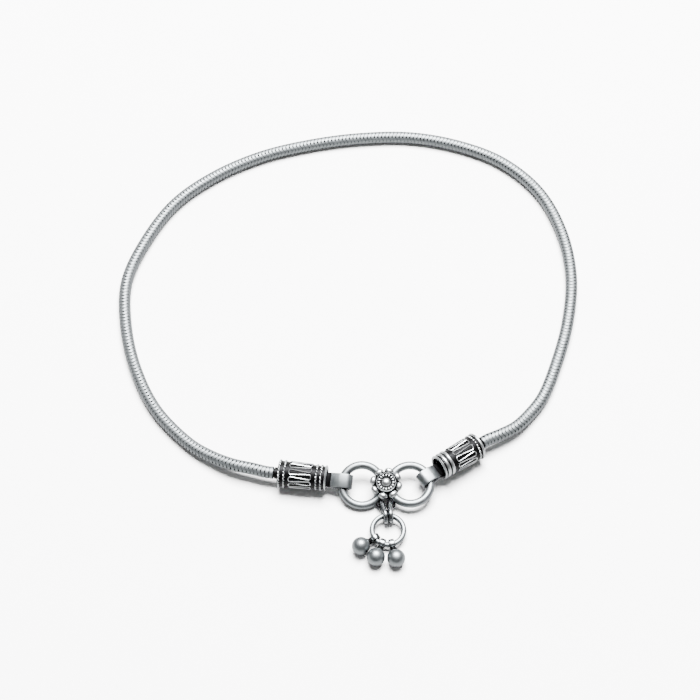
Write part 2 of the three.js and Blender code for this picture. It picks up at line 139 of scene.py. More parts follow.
@dataclass(frozen=True)
class SilverFinish:
    """What every silver finish here shares: bare metal with dark tarnish left in its crevices."""

    name: str
    slot: str
    colour: str
    tarnish: str
    roughness: float
    grain: float  # size of the marks that tumbling leaves, in millimetres
    grain_depth: float
    crevice: float  # how far from a corner the tarnish reaches, in millimetres
    wear: float = 0.05  # how much the roughness wanders from place to place
    patch: float = 8.0  # how many marks wide a duller or a brighter patch is
    kept: tuple[float, float] = (0.3, 0.85)  # openness below which tarnish stays, and above which none
    metal: float = 1.0

    def material(self) -> bpy.types.Material:
        """Makes the material, or gives the one that was made before.

        Returns:
            The material.
        """
        known = bpy.data.materials.get(self.name)
        if known:
            return known
        made = bpy.data.materials.new(self.name)
        tree = empty_tree(made)
        place = add_node(tree, "ShaderNodeTexCoord").outputs["Object"]
        marks = add_node(tree, "ShaderNodeTexNoise", inputs={
            "Vector": place, "Scale": 1 / (self.grain * MM), "Detail": 3.0, "Roughness": 0.6})
        patches = add_node(tree, "ShaderNodeTexNoise", inputs={
            "Vector": place, "Scale": 1 / (self.patch * self.grain * MM), "Detail": 2.0})
        bump = add_node(tree, "ShaderNodeBump", inputs={
            "Height": marks.outputs[0], "Distance": self.grain_depth * MM, "Strength": 1.0})
        openness = add_node(tree, "ShaderNodeAmbientOcclusion", {"samples": 8}, {
            "Distance": self.crevice * MM})
        bare = add_node(tree, "ShaderNodeMapRange", {"interpolation_type": "SMOOTHSTEP"}, {
            "Value": openness.outputs["AO"], "From Min": self.kept[0], "From Max": self.kept[1]})
        tint = add_node(tree, "ShaderNodeMix", {"data_type": "RGBA"}, {
            "Factor": bare.outputs["Result"], 6: linear(self.tarnish), 7: linear(self.colour)})
        rough = add_node(tree, "ShaderNodeMapRange", inputs={
            "Value": patches.outputs[0], "From Min": 0.3, "From Max": 0.7,
            "To Min": self.roughness - self.wear, "To Max": self.roughness + self.wear})
        shader = add_node(tree, "ShaderNodeBsdfPrincipled", inputs={
            "Base Color": tint.outputs[2], "Metallic": self.metal,
            "Roughness": rough.outputs["Result"], "Normal": bump.outputs["Normal"]})
        add_node(tree, "ShaderNodeOutputMaterial", inputs={"Surface": shader.outputs["BSDF"]})
        return made


@dataclass(frozen=True)
class SatinSterlingSilver(SilverFinish):
    """Sterling silver, tumbled: soft grey with broad highlights, and darker in its corners."""

    name: str = "satin_sterling_silver"
    slot: str = "satin_silver"
    colour: str = "#6E7274"
    tarnish: str = "#242527"
    roughness: float = 0.4
    grain: float = 0.16
    grain_depth: float = 0.006
    crevice: float = 0.8


@dataclass(frozen=True)
class PressedSterlingSilver(SilverFinish):
    """Sterling silver links as pressed and drawn: light, with the slits between them dark."""

    name: str = "pressed_sterling_silver"
    slot: str = "satin_silver"
    colour: str = "#6C7072"
    tarnish: str = "#2A2B2C"
    roughness: float = 0.5
    grain: float = 0.2
    grain_depth: float = 0.004
    crevice: float = 0.25
    kept: tuple[float, float] = (0.3, 0.75)


@dataclass(frozen=True)
class PolishedSterlingSilver(SilverFinish):
    """Sterling silver wire, polished by hand: narrow bright streaks beside dark ones."""

    name: str = "polished_sterling_silver"
    slot: str = "polished_silver"
    colour: str = "#75787A"
    tarnish: str = "#1C1D1E"
    roughness: float = 0.26
    grain: float = 0.2
    grain_depth: float = 0.005
    crevice: float = 0.6


@dataclass(frozen=True)
class ReliefSilver(SilverFinish):
    """Raised wire on a blackened ground, rubbed bright on top and dark along its foot."""

    name: str = "rubbed_relief_silver"
    slot: str = "polished_silver"
    colour: str = "#ACAFB0"
    tarnish: str = "#0E0F10"
    roughness: float = 0.32
    grain: float = 0.18
    grain_depth: float = 0.006
    crevice: float = 0.35
    kept: tuple[float, float] = (0.58, 0.97)


@dataclass(frozen=True)
class OxidisedSilver(SilverFinish):
    """Silver blackened with liver of sulphur: a near-black skin with a faint grey gleam."""

    name: str = "oxidised_silver"
    slot: str = "blackened_silver"
    colour: str = "#0B0B0C"
    tarnish: str = "#030303"
    roughness: float = 0.46
    grain: float = 0.14
    grain_depth: float = 0.008
    wear: float = 0.08
    crevice: float = 0.5
    metal: float = 0.95


SATIN = SatinSterlingSilver()
PRESSED = PressedSterlingSilver()
POLISHED = PolishedSterlingSilver()
RELIEF = ReliefSilver()
OXIDISED = OxidisedSilver()


class Shell:
    """Gathers closed surfaces into one mesh."""

    def __init__(self) -> None:
        """Starts with no surface."""
        self.points: list[Vector] = []
        self.faces: list[tuple[int, ...]] = []
        self.finish_of: list[int] = []

    def add(self, rings: Sequence[Sequence[Vector]], closed: bool = False,
            finish: int | Callable[[int], int] = 0) -> None:
        """Joins rings of points into one closed surface.

        Args:
            rings: The rings in order, each with as many points or a single one.
            closed: Whether the last ring joins the first, or else both ends are filled.
            finish: Which of the piece's finishes the surface takes, or a rule by ring.
        """
        spans = []  # each ring's points by number
        for ring in rings:
            spans.append(range(len(self.points), len(self.points) + len(ring)))
            self.points.extend(ring)
        pick = finish if callable(finish) else lambda _: finish
        following = spans[1:] + spans[:1] if closed else spans[1:]
        for i, (a, b) in enumerate(zip(spans, following)):
            count = max(len(a), len(b))
            for k in range(count):
                n = (k + 1) % count
                corners = (a[k % len(a)], a[n % len(a)], b[n % len(b)], b[k % len(b)])
                self.faces.append(tuple(dict.fromkeys(corners)))  # a triangle beside a single point
                self.finish_of.append(pick(i))
        filled = () if closed else (0, len(spans) - 1)
        for i in filled:
            if len(spans[i]) > 1:
                self.faces.append(tuple(spans[i]))
                self.finish_of.append(pick(i))

    def loop(self, path: Sequence[Vector], hints: Hints, section: SectionRule, finish: int = 0) -> None:
        """Adds wire along a path whose ends meet."""
        self.add(swept(path, hints, section, closed=True), closed=True, finish=finish)

    def build(self, name: str, finishes: Sequence[SilverFinish], origin: Vector, *nodes: str) -> None:
        """Makes the piece and fits it to the frame.

        Args:
            name: The piece's name.
            finishes: Its finishes, the first for faces with finish number 0.
            origin: Where the layout's own origin lies in the row frame, in millimetres.
            nodes: The nodes that it stands for.
        """
        mesh = bpy.data.meshes.new(name)
        mesh.from_pydata([(p + origin) * MM for p in self.points], [], self.faces)
        work = bmesh.new()
        work.from_mesh(mesh)
        bmesh.ops.recalc_face_normals(work, faces=work.faces)
        work.to_mesh(mesh)
        work.free()
        for finish in finishes:
            mesh.materials.append(finish.material())
        mesh.polygons.foreach_set("material_index", self.finish_of)
        mesh.shade_smooth()
        mesh.set_sharp_from_angle(angle=math.radians(SHARP_EDGE))
        mesh.update()
        piece = add_object(name, mesh)
        if nodes:
            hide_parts(*nodes)
        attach(piece, "root")
        LOG.info("%s: %d faces", name, len(self.faces))


def even_turns(steps: int) -> list[float]:
    """Gives the angles of equal steps round a full turn."""
    return [2 * math.pi * k / steps for k in range(steps)]


def square_to(axis: Vector, wanted: Vector) -> Vector:
    """Gives the direction square to an axis that lies nearest to the wanted one."""
    return (wanted - axis * wanted.dot(axis)).normalized()


def on_circle(centre: Vector, radius: float, first: Vector, second: Vector, angle: float) -> Vector:
    """Gives the point of a circle at an angle from its first direction towards its second."""
    return centre + first * (radius * math.cos(angle)) + second * (radius * math.sin(angle))


def circle(centre: Vector, radius: float, first: Vector, second: Vector, steps: int) -> list[Vector]:
    """Gives the points of a circle from its first direction towards its second."""
    return [on_circle(centre, radius, first, second, t) for t in even_turns(steps)]


def round_axis(place: Matrix, radius: float, turn: float, height: float) -> Vector:
    """Gives the point at a radius, a turn and a height round the place's Z axis."""
    return place @ Vector((radius * math.cos(turn), radius * math.sin(turn), height))


def oval(half_high: float, half_wide: float, sides: int) -> Section:
    """Gives an oval section of wire."""
    return [(half_high * math.cos(t), half_wide * math.sin(t)) for t in even_turns(sides)]


def round_wire(thickness: float, sides: int) -> Section:
    """Gives a round section of wire."""
    return oval(thickness / 2, thickness / 2, sides)


def swept(path: Sequence[Vector], hints: Hints, section: SectionRule,
          closed: bool = False) -> list[list[Vector]]:
    """Carries a section along a path.

    Args:
        path: The points that the section follows.
        hints: Which way the section's height points, for all or for each point.
        section: The section, or a rule that gives it for each point.
        closed: Whether the path closes on itself.

    Returns:
        The rings of the surface.
    """
    count = len(path)
    rings = []
    for i, point in enumerate(path):
        before = path[(i - 1) % count] if closed or i else path[0]
        after = path[(i + 1) % count] if closed or i < count - 1 else path[-1]
        tangent = (after - before).normalized()
        hint = hints if isinstance(hints, Vector) else hints[i]
        high = square_to(tangent, hint)
        wide = tangent.cross(high)
        shape = section(i) if callable(section) else section
        rings.append([point + high * u + wide * v for u, v in shape])
    return rings


def turned(profile: Sequence[tuple[float, float]], place: Matrix, steps: int) -> list[list[Vector]]:
    """Turns a profile round the place's Z axis.

    Args:
        profile: Radius and height of each point, from axis to axis.
        place: Where the axis lies.
        steps: How many points go round.

    Returns:
        The rings of the surface.
    """
    rings = []
    for radius, height in profile:
        turns = [0.0] if radius < ON_AXIS else even_turns(steps)
        rings.append([round_axis(place, radius, t, height) for t in turns])
    return rings


def ball(centre: Vector, radii: tuple[float, float, float], steps: int,
         place: Matrix | None = None) -> list[list[Vector]]:
    """Gives a ball or a flattened granule.

    Args:
        centre: Its middle, in the place's own frame.
        radii: Its half sizes along the place's axes.
        steps: How many points go round.
        place: The frame that it is turned with.

    Returns:
        The rings of the surface.
    """
    half = steps // 2
    arc = [(math.sin(math.pi * k / half), -math.cos(math.pi * k / half)) for k in range(half + 1)]
    squash = Matrix.Translation(centre) @ Matrix.Diagonal((*radii, 1.0))
    arc[0], arc[-1] = (0.0, -1.0), (0.0, 1.0)
    return turned(arc, (place or Matrix.Identity(4)) @ squash, steps)


def frame_along(z_axis: Vector, origin: Vector) -> Matrix:
    """Gives a frame whose Z runs along a direction and whose Y points as far up as it can.

    Args:
        z_axis: The direction.
        origin: The frame's origin.

    Returns:
        The frame.
    """
    y_axis = square_to(z_axis, UP)
    x_axis = y_axis.cross(z_axis)
    turn = Matrix((x_axis, y_axis, z_axis)).transposed().to_4x4()
    return Matrix.Translation(origin) @ turn


def smooth_way(points: Sequence[Vector], samples: int = 24) -> list[Vector]:
    """Draws a centripetal Catmull-Rom curve through points.

    Args:
        points: The points.
        samples: How many steps lie between neighbours.

    Returns:
        The curve's points.
    """
    padded = [points[0] * 2 - points[1], *points, points[-1] * 2 - points[-2]]
    way = []
    for a, b, c, d in zip(padded, padded[1:], padded[2:], padded[3:]):
        ab, bc, cd = ((q - p).length ** 0.5 for p, q in ((a, b), (b, c), (c, d)))
        leave = ((b - a) / ab - (c - a) / (ab + bc) + (c - b) / bc) * bc
        reach = ((c - b) / bc - (d - b) / (bc + cd) + (d - c) / cd) * bc
        for k in range(samples):
            t = k / samples
            way.append(b * (2 * t**3 - 3 * t**2 + 1) + leave * (t**3 - 2 * t**2 + t)
                       + c * (3 * t**2 - 2 * t**3) + reach * (t**3 - t**2))
    return way + [points[-1]]


def even_steps(way: Sequence[Vector], step: float) -> list[Vector]:
    """Walks a way in steps of one length.

    Args:
        way: The way's points.
        step: About how long a step is.

    Returns:
        The points, with the way's two ends first and last.
    """
    lengths = [0.0]
    for a, b in zip(way, way[1:]):
        lengths.append(lengths[-1] + (b - a).length)
    count = round(lengths[-1] / step)
    found, k = [], 0
    for i in range(count + 1):
        want = lengths[-1] * i / count
        while k < len(way) - 2 and lengths[k + 1] < want:
            k += 1
        share = (want - lengths[k]) / (lengths[k + 1] - lengths[k])
        found.append(way[k].lerp(way[k + 1], share))
    return found


@dataclass(frozen=True)
class Side:
    """How one side of the link lies, as the part's source gives it."""

    way: int  # -1 to the left
    strap: float  # where on the ring the strap holds it
    tilt: float  # lifts the ring's far side
    x: float  # the cap's mouth in plan
    y: float
    heading: float  # where the cap points from its mouth
    pitch: float  # lifts its mouth
    sag: float  # how far below the mouth's middle the strap lies


@dataclass
class LinkLayout:
    """Where the rings, straps, caps and flower lie."""

    flower_x: float = 6.87
    flower_y: float = -32.3
    ring_seat: float = 0.7
    ring_radius: float = 3.7
    ring_wire: float = 1.5
    strap_width: float = 2.6
    strap_thickness: float = 0.42
    strap_slit: float = 0.12
    mouth_wall: float = 0.34
    cap_length: float = 9.0
    cap_taper: float = 0.27
    left: Side = Side(way=-1, strap=168.5, tilt=20, x=-3.85, y=-31.26, heading=172.5, pitch=2, sag=0.55)
    right: Side = Side(way=1, strap=25, tilt=8, x=16.46, y=-29.44, heading=35, pitch=5.5, sag=0.85)
    origin: Vector = field(default_factory=Vector)  # where its own origin lies in the row frame

    def mouth_bore(self) -> float:
        """Gives the radius of the caps' bore, which just takes the strap."""
        deepest = max(self.left.sag, self.right.sag)
        half = self.strap_slit / 2 + self.strap_thickness
        return math.hypot(self.strap_width / 2, deepest + half) + 2 * FIT

    def mouth_radius(self) -> float:
        """Gives the radius over the rims at the mouth."""
        return self.mouth_bore() + self.mouth_wall

    def place(self, side: Side) -> SidePlace:
        """Works out where one side lies.

        Args:
            side: The side.

        Returns:
            Its points and directions.
        """
        angle, turn, lift, lean = (math.radians(a) for a in (
            side.strap, side.heading, side.tilt, side.pitch))
        end_height = (self.mouth_radius() + self.cap_taper) * math.cos(lean) + FLOOR_GAP
        mouth = Vector((side.x, side.y, end_height + self.cap_length * math.sin(lean)))
        axis = Vector((math.cos(turn) * math.cos(lean), math.sin(turn) * math.cos(lean), -math.sin(lean)))
        height = mouth.z - side.sag - self.ring_radius * math.sin(angle) * math.sin(lift)
        across = Vector((0, math.cos(lift), math.sin(lift)))
        reach = side.way * (self.ring_seat + self.ring_radius)
        centre = Vector((self.flower_x + reach, self.flower_y, height))
        wire = on_circle(centre, self.ring_radius, RIGHT, across, angle)
        run = Vector((mouth.x - wire.x, mouth.y - wire.y, 0))
        strap_axis = run.normalized()
        tangent = RIGHT * -math.sin(angle) + across * math.cos(angle)
        width = square_to(strap_axis, tangent)
        return SidePlace(centre, across, wire, run.length, strap_axis, width, mouth, axis, end_height)


@dataclass(frozen=True)
class SidePlace:
    """Points and directions of one side of the link."""

    centre: Vector  # of the ring
    across: Vector  # the ring's own far direction
    wire: Vector  # middle of the ring's wire where the strap holds it
    shown: float  # length of strap from there to the mouth
    strap_axis: Vector
    width: Vector  # of the strap
    mouth: Vector
    axis: Vector  # of the cap, away from the mouth
    end_height: float  # of the cap's axis at its chain end


class RimKind(Enum):
    """How the wire of a rim was made."""

    PLAIN = "plain wire"
    TWISTED = "two strands twisted together"
    BEADED = "wire rolled into grains"


@dataclass(frozen=True)
class Rim:
    """A ring of wire soldered round a cap, as shares of the cap's length from its mouth."""

    start: float
    end: float
    kind: RimKind


@dataclass
class EndCap:
    """A tapered, blackened barrel with bright rims and a bright meander of wire."""

    name: str
    layout: LinkLayout
    side: Side
    field_start: float  # the meander's field, as shares of the cap's length
    field_end: float
    rims: tuple[Rim, ...]
    relief: float = 0.25  # of the rims over the ground
    sink: float = 0.02  # of their wire into the ground
    mouth_depth: float = 3.1
    floor_corner: float = 0.15  # roundness of the mouth's floor
    lip: float = 0.06  # roundness of the mouth's edge
    shoulder: float = 0.1  # roundness of the barrel's other end
    neck_radius: float = 1.08
    neck_length: float = 0.7
    meander_wire: float = 0.21
    meander_height: float = 0.28
    meander_pitch: float = 1.44
    meander_rise: float = 0.18  # of its top over the ground
    meander_bulge: float = 1.4  # how much wider the bends are than the gap between two runs
    rim_share: float = 0.8  # of its own length that a rim's wire fills
    grain: float = 0.6  # length of one grain of a beaded or twisted rim
    waist: float = 0.12  # share of the wire's thickness that is left between two grains
    fullness: float = 0.7  # power of the grains' swell: the lower, the fuller they are
    twist_lean: float = 0.7  # how far twisted grains lean, in radians
    plain_steps: int = 96  # points round a plain rim
    grain_steps: int = 8  # points along a grain
    rim_sides: int = 12  # points round a rim's wire

    def rim_radius(self, along: float) -> float:
        """Gives the radius that the rims reach at a length from the mouth."""
        return self.layout.mouth_radius() + self.layout.cap_taper * along / self.layout.cap_length

    def ground_radius(self, along: float) -> float:
        """Gives the radius of the ground at a length from the mouth."""
        return self.rim_radius(along) - self.relief

    def rim_wire(self, rim: Rim) -> BarrelWire:
        """Gives one rim's wire.

        Args:
            rim: The rim.

        Returns:
            The wire.
        """
        length = self.layout.cap_length
        along = length * (rim.start + rim.end) / 2
        half = length * (rim.end - rim.start) / 2 * self.rim_share
        seat = self.ground_radius(along) - self.sink
        grains = round(2 * math.pi * seat / self.grain)
        steps = self.plain_steps if rim.kind is RimKind.PLAIN else grains * self.grain_steps
        lean = self.twist_lean if rim.kind is RimKind.TWISTED else 0.0

        def section(i: int) -> Section:
            """Gives the wire's section at one step round."""
            shape = []
            for angle in even_turns(self.rim_sides):
                swell = 1.0
                if rim.kind is not RimKind.PLAIN:
                    ripple = abs(math.sin(math.pi * grains * i / steps + lean * math.sin(angle)))
                    swell = self.waist + (1 - self.waist) * ripple ** self.fullness
                high = (self.relief + self.sink) * swell
                shape.append((high * math.cos(angle), half * swell * math.sin(angle)))
            return shape

        return [(seat, turn, along) for turn in even_turns(steps)], section

    def meander(self) -> BarrelWire:
        """Gives the serpentine wire round the field.

        Returns:
            The wire.
        """
        length = self.layout.cap_length
        middle = length * (self.field_start + self.field_end) / 2
        reach = (length * (self.field_end - self.field_start) - self.meander_wire) / 2
        girth = 2 * math.pi * self.rim_radius(middle)
        runs = 2 * round(girth / self.meander_pitch)
        half_angle = math.pi / runs
        bend_radius = girth / runs / 2
        bend_steps, run_steps = 10, 6
        slant = self.meander_bulge - 1
        bends = [math.pi * k / bend_steps for k in range(bend_steps + 1)]
        points = []
        for run in range(runs):
            way = -1 if run % 2 else 1
            flat = [(way * (2 * k / run_steps - 1) * (reach - bend_radius),
                     half_angle * (2 * run + slant * (1 - 2 * k / run_steps)))
                    for k in range(1, run_steps)]
            flat += [(way * (reach - bend_radius + bend_radius * math.sin(b)),
                      half_angle * (2 * run + 1 - self.meander_bulge * math.cos(b))) for b in bends]
            for offset, turn in flat:
                along = middle + offset
                radius = self.ground_radius(along) + self.meander_rise - self.meander_height / 2
                points.append((radius, turn, along))
        return points, oval(self.meander_height / 2, self.meander_wire / 2, sides=8)

    def build(self) -> None:
        """Makes the cap's blackened ground and its bright wires."""
        side = self.layout.place(self.side)
        place = frame_along(side.axis, side.mouth)
        length, bore, depth = self.layout.cap_length, self.layout.mouth_bore(), self.mouth_depth
        mouth, end = self.ground_radius(0), self.ground_radius(length)
        neck, neck_end = self.neck_radius, length + self.neck_length
        ground = Shell()
        ground.add(turned([
            (0, depth), (bore - self.floor_corner, depth), (bore, depth - self.floor_corner),
            (bore, 2 * self.lip), (bore + self.lip, self.lip / 2), (mouth - self.lip, self.lip / 2),
            (mouth, 1.5 * self.lip), (end, length - self.shoulder), (end - self.shoulder, length),
            (neck + self.shoulder, length), (neck, length + 0.8 * self.shoulder), (neck, neck_end),
            (0, neck_end)], place, steps=96))
        ground.build(self.name, [OXIDISED], self.layout.origin, self.name)
        relief = Shell()
        for points, section in [*map(self.rim_wire, self.rims), self.meander()]:
            hints = [round_axis(place, 1, turn, 0) - place.translation for _, turn, _ in points]
            relief.loop([round_axis(place, *point) for point in points], hints, section)
        relief.build(f"{self.name}_relief", [RELIEF], self.layout.origin)


@dataclass
class FoldedStrap:
    """A flat strip folded round a ring, whose leaves come together and run into a cap."""

    name: str
    layout: LinkLayout
    side: Side
    play: float = 0.7  # from the ring's wire to the middle of the fold
    parted: float = 0.45  # how far past the ring the leaves stay apart
    pinched: float = 0.35  # how far out of the mouth they lie together
    tuck: float = 2.6  # how far they reach into the mouth
    edge: float = 0.13  # roundness of the strip's edges
    oxide_and_shade_reach: float = 0.75  # how far out of the mouth the black reaches: oxide on the strap's root, and painted shade where the cap's mouth shades it

    def build(self) -> None:
        """Makes the strap."""
        place = self.layout.place(self.side)
        thick = self.layout.strap_thickness
        apart = self.layout.ring_wire / 2 + FIT + thick / 2
        together = (self.layout.strap_slit + thick) / 2
        mouth = self.play + place.shown
        pinch, spread = mouth - self.pinched, self.play + self.parted
        slope = (apart - together) / (pinch - spread)
        # From here into the mouth the strap is blackened: partly oxide, partly painted shade cast by the
        # cap's mouth
        oxide_and_shade_from = mouth - self.oxide_and_shade_reach
        # Half length of a leaf's bend at each end of its slope, and how far the bend is eased
        (pinch_half, pinch_ease), (spread_half, spread_ease) = (0.1, 0.02), (0.15, 0.17)
        leaf = [(mouth + self.tuck, together), (mouth, together)]
        leaf += [(pinch + pinch_half, together + pinch_ease)]
        leaf += [(x, together + slope * (pinch - x))
                 for x in (pinch - pinch_half, oxide_and_shade_from, (pinch + spread) / 2)]
        leaf += [(spread + spread_half, apart - slope * spread_ease), (spread - spread_half, apart),
                 (self.play / 2, apart)]
        fold_steps = 28
        turns = [math.pi * k / fold_steps for k in range(fold_steps + 1)]
        outline = leaf + [(-apart * math.sin(t), apart * math.cos(t)) for t in turns]
        outline += [(x, -y) for x, y in reversed(leaf)]
        upright = place.strap_axis.cross(place.width)
        start = place.wire - place.strap_axis * self.play
        path = [start + place.strap_axis * x + upright * y for x, y in outline]
        last = len(outline) - 1
        strip = Shell()
        # Faces from that point into the mouth take the blackened finish, as oxide and painted shade
        strip.add(swept(path, place.width, self.strip_section()),
                  finish=lambda i: int(min(outline[i][0], outline[min(i + 1, last)][0]) >= oxide_and_shade_from))
        strip.build(self.name, [SATIN, OXIDISED], self.layout.origin, self.name)

    def strip_section(self) -> Section:
        """Gives the strip's section, a flat bar with rounded edges.

        Returns:
            The section.
        """
        half_wide, half_thick = self.layout.strap_width / 2, self.layout.strap_thickness / 2
        corners = [(1, 1), (-1, 1), (-1, -1), (1, -1)]
        corner_steps = 3
        points = []
        for i, (u, v) in enumerate(corners):
            for k in range(corner_steps + 1):
                turn = math.pi / 2 * (i + k / corner_steps)
                points.append((u * (half_wide - self.edge) + self.edge * math.cos(turn),
                               v * (half_thick - self.edge) + self.edge * math.sin(turn)))
        return points


@dataclass
class FlowerLink:
    """Two rings soldered to a flower boss, with a small eye at its foot."""

    layout: LinkLayout
    tilt: float = 12.0
    collar_radius: float = 2.45
    collar_below: float = 1.15
    collar_above: float = 0.35
    face_radius: float = 1.8
    face_height: float = 1.95
    face_rim: float = 0.26
    face_depth: float = 0.18
    rim_inset: float = 0.09  # of the wire round the face, from the face's edge
    rim_drop: float = 0.14  # of its middle, from the face's height
    rim_half_high: float = 0.15
    rim_half_wide: float = 0.1
    heart_radius: float = 0.83
    heart_flatness: float = 0.66
    dashes: int = 16
    dash_width: float = 0.36
    dash_gap: float = 0.18  # from the heart to a dash
    dash_overlap: float = 0.1  # of a dash with the face's rim
    dash_height: float = 0.17
    dash_lift: float = 0.02  # of its middle over the ground
    granules: int = 8
    granule_size: tuple[float, float, float] = (0.62, 0.86, 0.6)
    granule_place: float = 2.39
    granule_height: float = 1.02
    granule_turn: float = 0.7
    eye_wire: float = 0.5
    eye_half_width: float = 1.5
    eye_corner: float = 0.3
    eye_height: float = 1.22
    bail_room: float = 0.2
    bail_wire: float = 0.8

    def flower_frame(self) -> Matrix:
        """Gives the flower's frame: Z out of its face, from the rings' plane."""
        heights = [self.layout.place(side).centre.z for side in (self.layout.left, self.layout.right)]
        middle = Vector((self.layout.flower_x, self.layout.flower_y, sum(heights) / 2))
        return Matrix.Translation(middle) @ Matrix.Rotation(math.radians(self.tilt), 4, "X")

    def bail_far_radius(self) -> float:
        """Gives the radius of the bail's bend round the eye."""
        return (self.eye_wire + self.bail_wire) / 2 + 2 * FIT

    def eye_reach(self) -> float:
        """Gives how far the eye's bar lies from the flower's axis."""
        return self.collar_radius + self.bail_room + self.bail_wire / 2 + self.bail_far_radius()

    def build(self) -> None:
        """Makes the rings, the flower's ground and its relief."""
        rings = Shell()
        for side in (self.layout.left, self.layout.right):
            place = self.layout.place(side)
            path = circle(place.centre, self.layout.ring_radius, RIGHT, place.across, steps=112)
            rings.loop(path, RIGHT.cross(place.across), round_wire(self.layout.ring_wire, sides=28))
        rings.build("link_rings", [SATIN], self.layout.origin, "flower_link")
        self.build_ground()
        self.build_relief()

    def build_ground(self) -> None:
        """Makes the flower's blackened body and the eye at its foot."""
        place = self.flower_frame()
        face, top = self.face_height - self.face_depth, self.face_height
        inner = self.face_radius - self.face_rim
        collar, below, above = self.collar_radius, -self.collar_below, self.collar_above
        bead = collar + 0.09
        neck = self.face_radius - 0.1
        ground = Shell()
        # Radius and height of each point: under the collar, its bead, the shoulder, the neck, the face
        ground.add(turned([
            (0, below), (collar - 0.15, below), (collar, below + 0.12), (collar, -0.5),
            (bead, -0.42), (bead, -0.3), (collar, -0.22), (collar, above),
            (collar - 0.07, above + 0.2), (collar - 0.32, above + 0.38), (neck + 0.14, above + 0.72),
            (neck + 0.02, above + 1.15), (neck, top - 0.2), (self.face_radius - 0.12, top - 0.1),
            (inner, face), (0, face)], place, steps=72))
        side, corner, bar = self.eye_half_width, self.eye_corner, -self.eye_reach()
        corner_steps = 5
        turns = [math.pi / 2 * k / corner_steps for k in range(1, corner_steps + 1)]
        staple = [(-side, -collar / 2), (-side, bar + corner)]
        staple += [(-side + corner - corner * math.cos(t), bar + corner - corner * math.sin(t))
                   for t in turns]
        staple += [(-x, y) for x, y in reversed(staple)]
        foot = Vector((self.layout.flower_x, self.layout.flower_y, self.eye_height))
        path = [foot + Vector((x, y, 0)) for x, y in staple]
        ground.add(swept(path, UP, round_wire(self.eye_wire, sides=14)))
        ground.build("flower_ground", [OXIDISED], self.layout.origin, "flower_link")

    def build_relief(self) -> None:
        """Makes the bright wire round the face, and the flower's heart, dashes and granules."""
        place = self.flower_frame()
        face = self.face_height - self.face_depth
        hoop_radius, hoop_height = self.face_radius - self.rim_inset, self.face_height - self.rim_drop
        hoop = [round_axis(place, hoop_radius, t, hoop_height) for t in even_turns(steps=72)]
        normal = (place @ UP) - place.translation
        relief = Shell()
        relief.loop(hoop, normal, oval(self.rim_half_high, self.rim_half_wide, sides=12))
        heart, heart_height = self.heart_radius, self.heart_radius * self.heart_flatness
        relief.add(ball(Vector((0, 0, face)), (heart, heart, heart_height), steps=32, place=place))
        start, end = heart + self.dash_gap, self.face_radius - self.face_rim + self.dash_overlap
        dash = ((end - start) / 2, self.dash_width / 2, self.dash_height)
        dash_place = Vector(((start + end) / 2, 0, face + self.dash_lift))
        for i in range(self.dashes):
            turn = Matrix.Rotation(2 * math.pi * i / self.dashes, 4, "Z")
            relief.add(ball(dash_place, dash, steps=12, place=place @ turn))
        granule_place = Vector((self.granule_place, 0, self.granule_height))
        for i in range(self.granules):
            turn = Matrix.Rotation(2 * math.pi * (i + self.granule_turn) / self.granules, 4, "Z")
            relief.add(ball(granule_place, self.granule_size, steps=22, place=place @ turn))
        relief.build("flower_relief", [RELIEF], self.layout.origin)


